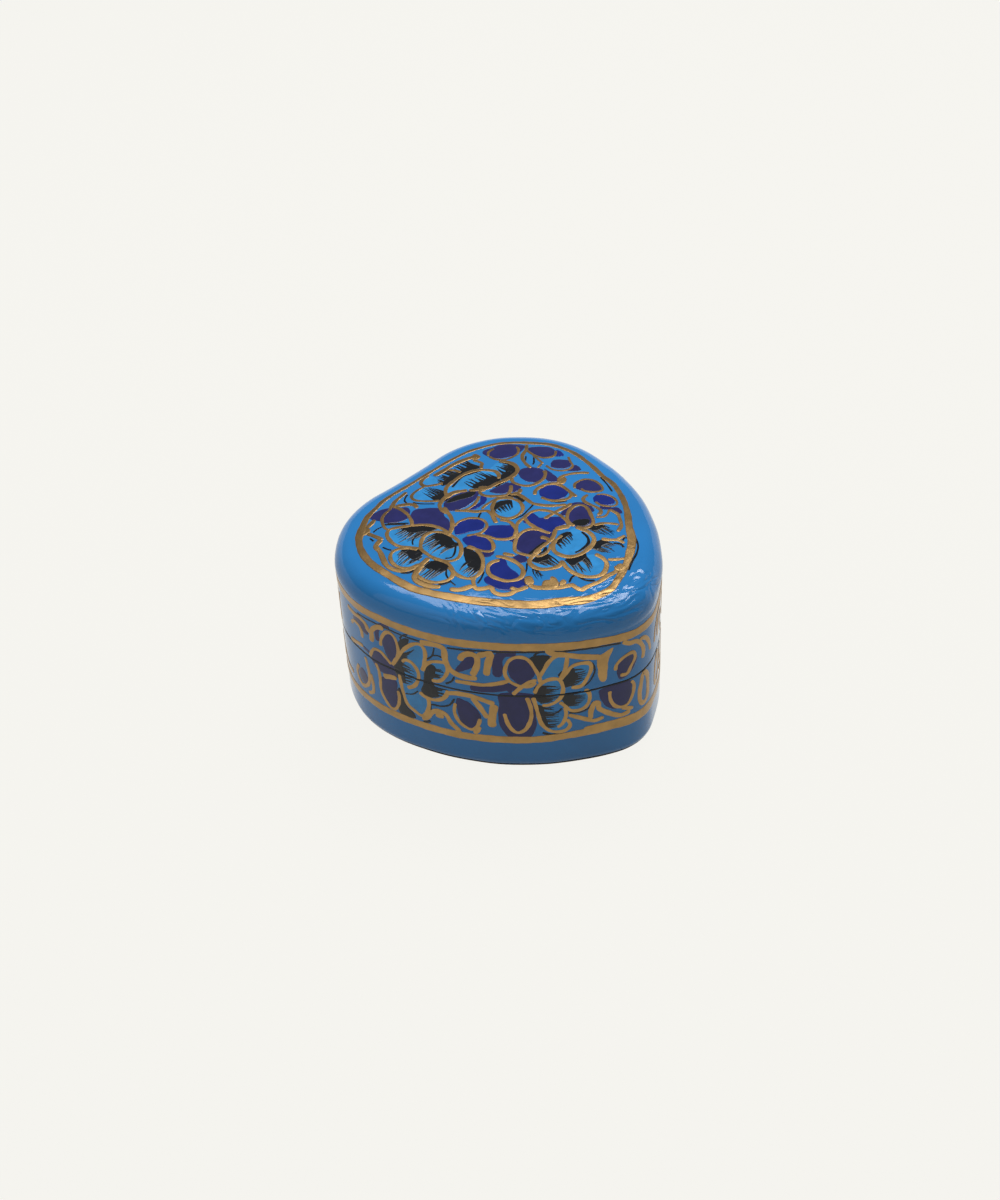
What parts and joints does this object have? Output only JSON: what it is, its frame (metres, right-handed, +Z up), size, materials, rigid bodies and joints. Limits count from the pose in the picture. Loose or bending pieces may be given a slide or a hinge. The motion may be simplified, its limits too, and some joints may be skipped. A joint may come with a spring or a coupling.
{
  "type": "papier mache trinket box",
  "caption": "Small rounded-heart papier mache trinket box: crowned lift-off lid over an inner collar, blue lacquer with hand-painted flowers and gold lines.",
  "frame": {"origin": "middle of the underside, on the surface the box stands on", "axes": "+Z up, the heart's blunt tip towards -Y, its two lobes towards +Y, one on each side of the YZ plane"},
  "size_m": [0.0602, 0.0606, 0.0363],
  "materials": {
    "blue_lacquer": "gloss",
    "black_paint": "satin",
    "gold_paint": "satin",
    "navy_paint": "gloss",
    "pale_blue_paint": "gloss"
  },
  "bodies": {
    "base": {"base_wall": "blue_lacquer", "base_floor": "black_paint", "collar": "black_paint"},
    "lid": {"lid_top": "blue_lacquer", "lid_wall": "blue_lacquer"}
  },
  "joints": [
    {"name": "lid_lift", "type": "slide", "parent": "base", "child": "lid", "axis": [0, 0, 1], "range_m": [0, 0.04]}
  ]
}
